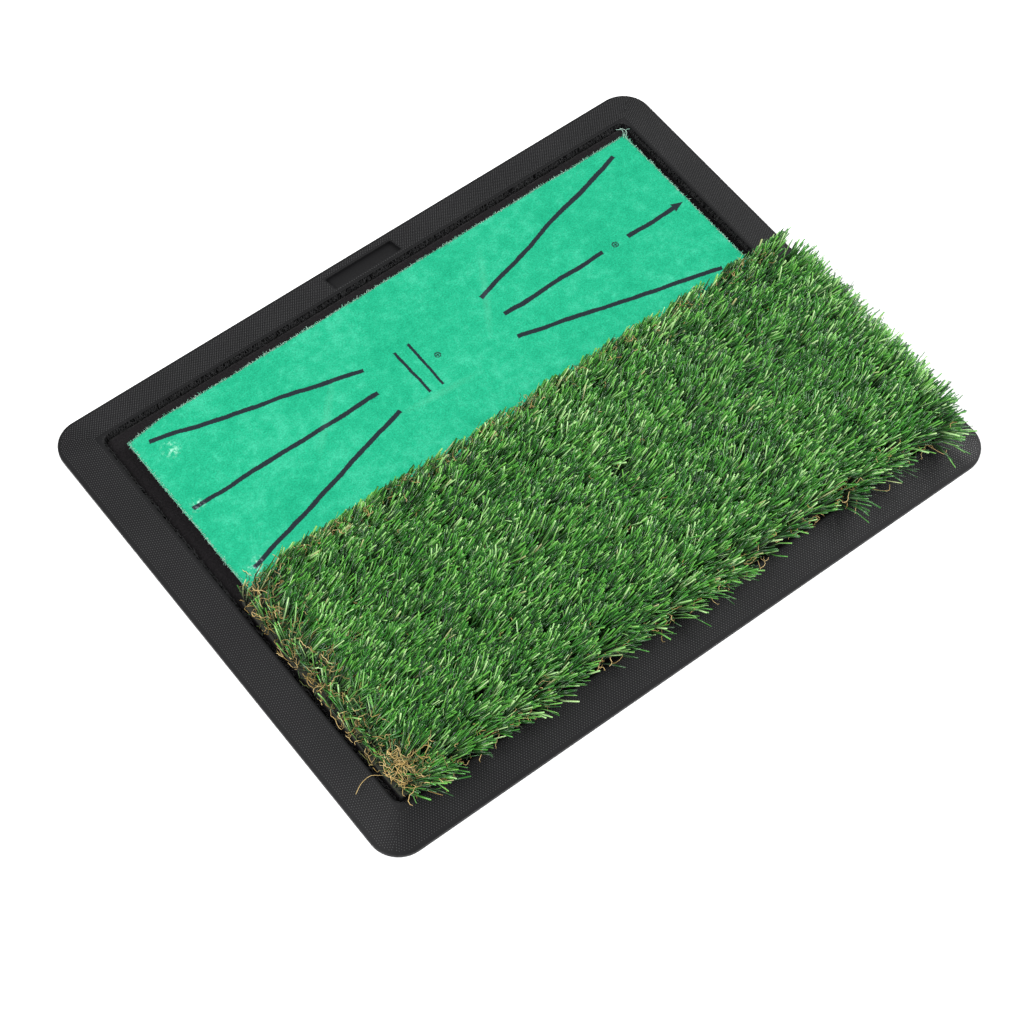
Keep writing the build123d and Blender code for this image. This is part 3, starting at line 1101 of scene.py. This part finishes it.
# %% Loose strands at the turf's edges
loose_curls = (
    [
        (-174, -118, 13), (-176, -123, 17), (-172, -127, 20), (-167, -126, 21), (-165, -122, 20),
        (-169, -119, 19), (-173, -122, 18),
    ],
    [(-182, -123, 8.5), (-186, -121, 10.5), (-190, -119, 11.5), (-196, -119.5, 11), (-201.5, -122, 9)],
    [(-178, -131, 9), (-174, -139, 10.5), (-170, -145, 10.5), (-166, -150, 9.5)],
    [(-172, 1, 9), (-177, 3, 10), (-179, 8, 10), (-177, 11.5, 11), (-173, 11, 11.5)],
    [(-173, -5, 10), (-178, -2, 10), (-181, 3, 9), (-180.5, 8, 9.5), (-178, 10.5, 10.5)],
    [(-170, -8, 12), (-174, -6, 12.5), (-178, -5, 10.5), (-182, -1, 9)],
    [(131, -138, 12), (134, -144, 11), (137, -148, 10.5), (141.5, -151, 10), (144.5, -148.5, 10)],
    [(126, -138, 12), (123, -145, 11.5), (120, -148, 10.5), (117, -151, 9.5)],
    [(176, -138, 12), (179, -146, 11), (182, -152, 10), (185, -150.5, 9.5)],
)
curl_stations = 14
loose_paths = rest_on(np.stack([smooth_path(points, curl_stations) for points in loose_curls]), 0.3 * MM)
loose_width = np.full(len(loose_paths), 0.42 * MM)
loose_tone = np.resize([0.92, 0.9, 0.75, 0.95, 0.85, 0.8, 0.9], len(loose_paths))
loose_mesh = strands(
    "turf_loose_curls", loose_paths, loose_width, 0.7 * loose_width, loose_tone,
    np.ones((1, curl_stations)), foot=0.8,
)
thatch_pieces.append(add_piece(loose_mesh, "turf_pad", thatch_yarn))

# %% [markdown]
# A blade is a flat yarn that leaves its stitch steeply, bends over and points along the lean, and no two do
# it quite alike. Blades of one stitch share a turn and a climb, so the pile falls in small locks. At the
# pad's four edges nothing holds the outer blades up, so each edge has its own way: they splay at the near
# one, stop short at the far one, lie in a tangle at the left end, and reach out at the right.

# %% Blade sizes
blade_length = 28.5 * MM
blade_width = 0.96 * MM
blade_thickness = 0.34 * MM
blades_per_stitch = 34
blade_taper = np.array([0.75, 1.0, 1.0, 0.8])
blade_stations = len(blade_taper)

# how far in from each edge the pile behaves in that edge's way
near_reach, far_reach, left_reach, right_reach = 12 * MM, 8 * MM, 14 * MM, 12 * MM
foot_lean, tip_lean = 55, 33  # mean climb at a blade's foot and at its tip, in degrees
foot_limits, tip_limits = (14, 72), (-15, 60)
tousled_share = 0.6  # of the blades right at the left end
shortest_overhang, longest_overhang = 0.9 * MM, 2.4 * MM  # less than the gap to the velvet pad


# %% The curve of a blade
def blade_paths(rng, roots, stitch_turn, stitch_splay, stitch_climb):
    """The curve of each blade: steep at its foot, lying over towards its tip."""
    count = len(roots)
    near = nearness(roots[:, 1] - backing_low.y, near_reach)
    far = nearness(backing_high.y - roots[:, 1], far_reach)
    left = nearness(roots[:, 0] - backing_low.x, left_reach)
    right = nearness(backing_high.x - roots[:, 0], right_reach)
    droop = near * stitch_splay
    turn = stitch_turn + rng.normal(0, 0.26, count) - 0.75 * droop
    turn += far * rng.uniform(-0.2, 0.5, count)
    turn += near * rng.normal(0, 0.3, count)
    tousled = rng.random(count) < tousled_share * left
    turn = np.where(tousled, rng.uniform(-1.5, 1.7, count), turn)
    foot_climb = rng.normal(foot_lean, 5, count) + stitch_climb - 20 * droop
    foot_climb = np.where(tousled, rng.uniform(20, 70, count), foot_climb - 12 * right)
    foot_climb = np.radians(np.clip(foot_climb, *foot_limits))
    tip_climb = rng.normal(tip_lean, 9, count) + stitch_climb - 34 * droop - 3 * right
    tip_climb += rng.normal(0, 10, count) * far + rng.normal(0, 14, count) * near
    tip_climb = np.radians(np.clip(tip_climb, *tip_limits))
    length = np.clip(rng.normal(1.0, 0.045, count), 0.85, 1.12) + 0.22 * right * rng.random(count)
    tousled_length = rng.uniform(0.35, 0.8, count)
    length = blade_length * np.where(tousled, tousled_length, length - 0.3 * near * rng.random(count))
    path = [roots]
    for station in range(blade_stations - 1):
        share = (station + 0.5) / (blade_stations - 1)
        climb = foot_climb + share * (tip_climb - foot_climb)
        heading = turn + share * rng.normal(0, 0.22, count)
        path.append(path[-1] + directions(heading, climb) * (length / (blade_stations - 1))[:, None])
    paths = np.stack(path, 1)
    keep_right(paths, 2 * MM)
    beyond = np.maximum(paths[:, :, 1] - backing_high.y, 0)
    overhang = rng.uniform(shortest_overhang, longest_overhang, count)[:, None]
    paths[:, :, 1] -= beyond - overhang * np.tanh(beyond / (4 * MM))
    return rest_on(paths, 0.5 * MM)


# %% The colour of a blade
# The lightest of the light blades reach the pale stop of the blade ramp, which is painted highlight.
kind_share = (0.42, 0.36, 0.216, 0.004)  # dark, middle, light and straw blades
kind_tone = np.array([0.14, 0.48, 0.78, 0.98])
kind_spread = np.array([0.1, 0.12, 0.1, 0.01])
straw_kind = 3
straw_tone = 0.97


def blade_tones(rng, roots):
    """Most blades are a dark or middle green, some light and a few straw, in loose patches."""
    count = len(roots)
    kind = rng.choice(4, count, p=kind_share)
    tone = rng.normal(kind_tone[kind], kind_spread[kind])
    patch = np.array([noise.noise(Vector((x, y, 5.0)) / (30 * MM)) for x, y, _ in roots])
    # blades get a lighter tone towards the right end
    toward_right_end = nearness(backing_high.x - roots[:, 0], 22 * MM)
    far = nearness(backing_high.y - roots[:, 1], 9 * MM)
    green = np.clip(tone + 0.12 * patch + 0.12 * toward_right_end + 0.02 * far, 0.0, 0.92)
    tone = np.where(kind == straw_kind, tone, green)
    return np.where(rng.random(count) < 0.06 * far, straw_tone, tone)


# The whitish stop at 0.9 is painted highlight: it gives the lightest blades the pale look of gloss in their
# colour.
blade_yarn = yarn_finish(
    "blade_yarn",
    [
        (0.0, rgb(11, 50, 11)),
        (0.25, rgb(29, 92, 22)),
        (0.5, rgb(62, 137, 41)),
        (0.75, rgb(106, 174, 69)),
        (0.9, rgb(170, 212, 140)),
        (1.0, rgb(166, 160, 108)),
    ],
    0.25,
    root_shade=0.02,
    lit=(0.42, 1.0),
)

# %% The pile, blade by blade
strip_count = 7
extra_end_blades = 1800
open_corner = 20 * MM  # the far left corner, where few blades are left


def grass():
    """The blades, in strips along X so that each piece stays light."""
    rng = np.random.default_rng(7)
    spots = stitches(rng)
    owner = np.repeat(np.arange(len(spots)), blades_per_stitch)
    end_stitches = np.flatnonzero(np.abs(spots[:, 0]) > backing_high.x - 8 * MM)
    owner = np.concatenate([owner, rng.choice(end_stitches, extra_end_blades)])
    corner = (spots[owner, 0] - backing_low.x) + (backing_high.y - spots[owner, 1])
    owner = owner[(corner > open_corner) | (rng.random(len(owner)) < 0.3)]
    count = len(owner)
    spread = rng.normal(0, 1.1 * MM, (count, 2))
    inset = 0.6 * MM
    x, y = (spots[owner] + spread).T
    x = np.clip(x, backing_low.x + inset, backing_high.x - inset)
    y = np.clip(y, backing_low.y + inset, backing_high.y - inset)
    roots = np.stack([x, y, np.full(count, pile_foot - 0.2 * MM)], 1)
    field = np.array([noise.noise(Vector((px, py, 1.0)) / (28 * MM)) for px, py in spots])
    stitch_turn = (0.03 + 0.35 * field + rng.normal(0, 0.24, len(spots)))[owner]
    stitch_splay = rng.uniform(0.05, 0.85, len(spots))[owner]
    stitch_climb = rng.normal(0, 3.5, len(spots))[owner]
    paths = blade_paths(rng, roots, stitch_turn, stitch_splay, stitch_climb)
    tones = blade_tones(rng, roots)
    width = blade_width * np.clip(rng.normal(1, 0.18, count), 0.6, 1.5)
    thickness = np.full(count, blade_thickness)
    twist = rng.normal(0, 0.6, count)[:, None]
    twist = twist + rng.normal(0, 0.4, count)[:, None] * np.linspace(0, 1, blade_stations)
    # painted light: at the open left end less of each blade is painted in root shade, as more light reaches
    # in there
    foot = map_margin + 0.25 * nearness(x - backing_low.x, 12 * MM)
    strip = (x - backing_low.x) / (backing_high.x - backing_low.x) * strip_count
    strip = np.clip(strip.astype(int), 0, strip_count - 1)
    made = []
    for number in range(strip_count):
        own = strip == number
        mesh = strands(
            f"turf_blades_strip_{number + 1}", paths[own], width[own], thickness[own], tones[own],
            blade_taper[None], twist[own], foot=foot[own],
        )
        made.append(add_piece(mesh, "turf_pad", blade_yarn))
    print(count, "blades in", len(spots), "stitches")
    return made


grass_strips = grass()
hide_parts("turf_blades")

# %% [markdown]
# ## Hook strips
# Strips of hook tape under each pad grip the liner. They are woven nylon with rows of tiny hooks, dark and
# slightly shiny, and they show only when a pad is lifted.

# %% Hook tape finish
def hook_finish():
    tree = Tree("hook_tape")
    hooks = tree.cells(tree.object_coords(), 1.2 * MM)
    return tree.two_tone(hooks, rgb(34, 34, 36), rgb(10, 10, 11), 0.5, raised=hooks, depth=0.5 * MM)


hook_tape = hook_finish()
hook_strips = [name for name in nodes if "hook_strip" in name]
for name in hook_strips:
    nodes[name].material_slots[0].material = hook_tape
print(len(hook_strips), "hook strips")

# %% [markdown]
# ## Floor, light and camera
# A plain pale floor and two large soft lights, one to each side, as in a product studio. The camera stands
# where the mat is seen from its near left corner, high up, through a long lens.

# %% Floor
floor_reach = 3.0  # metres each way
floor_gap = 0.2 * MM


def studio_floor():
    tree = Tree("studio_floor")
    tree.set(Base_Color=(0.92, 0.92, 0.92, 1), Roughness=0.9)
    bm = bmesh.new()
    bmesh.ops.create_grid(bm, x_segments=1, y_segments=1, size=floor_reach)
    bmesh.ops.translate(bm, verts=bm.verts, vec=(0, 0, tray_low.z - floor_gap))
    floor = bpy.data.objects.new("floor", to_mesh(bm, "floor"))
    bpy.context.scene.collection.objects.link(floor)
    floor.data.materials.append(tree.material)


studio_floor()

# %% Lights
def soft_light(name, place, power, size):
    """A square area light that faces the middle of the mat."""
    lamp = bpy.data.lights.new(name, "AREA")
    lamp.energy = power
    lamp.size = size
    light = bpy.data.objects.new(name, lamp)
    light.location = place
    light.rotation_mode = "QUATERNION"
    light.rotation_quaternion = Vector(place).to_track_quat("Z", "Y")
    bpy.context.scene.collection.objects.link(light)


soft_light("left_softbox", (-1.5, -0.1, 1.4), 52, 1.0)
soft_light("right_softbox", (1.6, -0.3, 1.3), 46, 1.0)

world = bpy.data.worlds.new("studio_air")
world.use_nodes = True
background = world.node_tree.nodes["Background"]
background.inputs["Color"].default_value = (1, 1, 1, 1)
background.inputs["Strength"].default_value = 0.6
bpy.context.scene.world = world
bpy.context.scene.view_settings.view_transform = "Standard"

# %% Camera
view_azimuth = math.radians(-38.09)
view_elevation = math.radians(59.07)
view_roll = math.radians(0.72)
view_distance = 1.5745
view_aim = Vector((-29.4, -31.1, 0)) * MM
lens_length = 99.74  # millimetres
sensor_width = 36  # millimetres

lens = bpy.data.cameras.new("camera")
lens.lens = lens_length
lens.sensor_width = sensor_width
camera = bpy.data.objects.new("camera", lens)
toward_camera = Vector((
    math.sin(view_azimuth) * math.cos(view_elevation),
    -math.cos(view_azimuth) * math.cos(view_elevation),
    math.sin(view_elevation),
))
camera.location = view_aim + view_distance * toward_camera
camera.rotation_mode = "QUATERNION"
camera.rotation_quaternion = toward_camera.to_track_quat("Z", "Y") @ Quaternion((0, 0, 1), view_roll)
bpy.context.scene.collection.objects.link(camera)
bpy.context.scene.camera = camera
print("camera at", [round(value, 3) for value in camera.location], "with a lens of", lens_length, "mm")
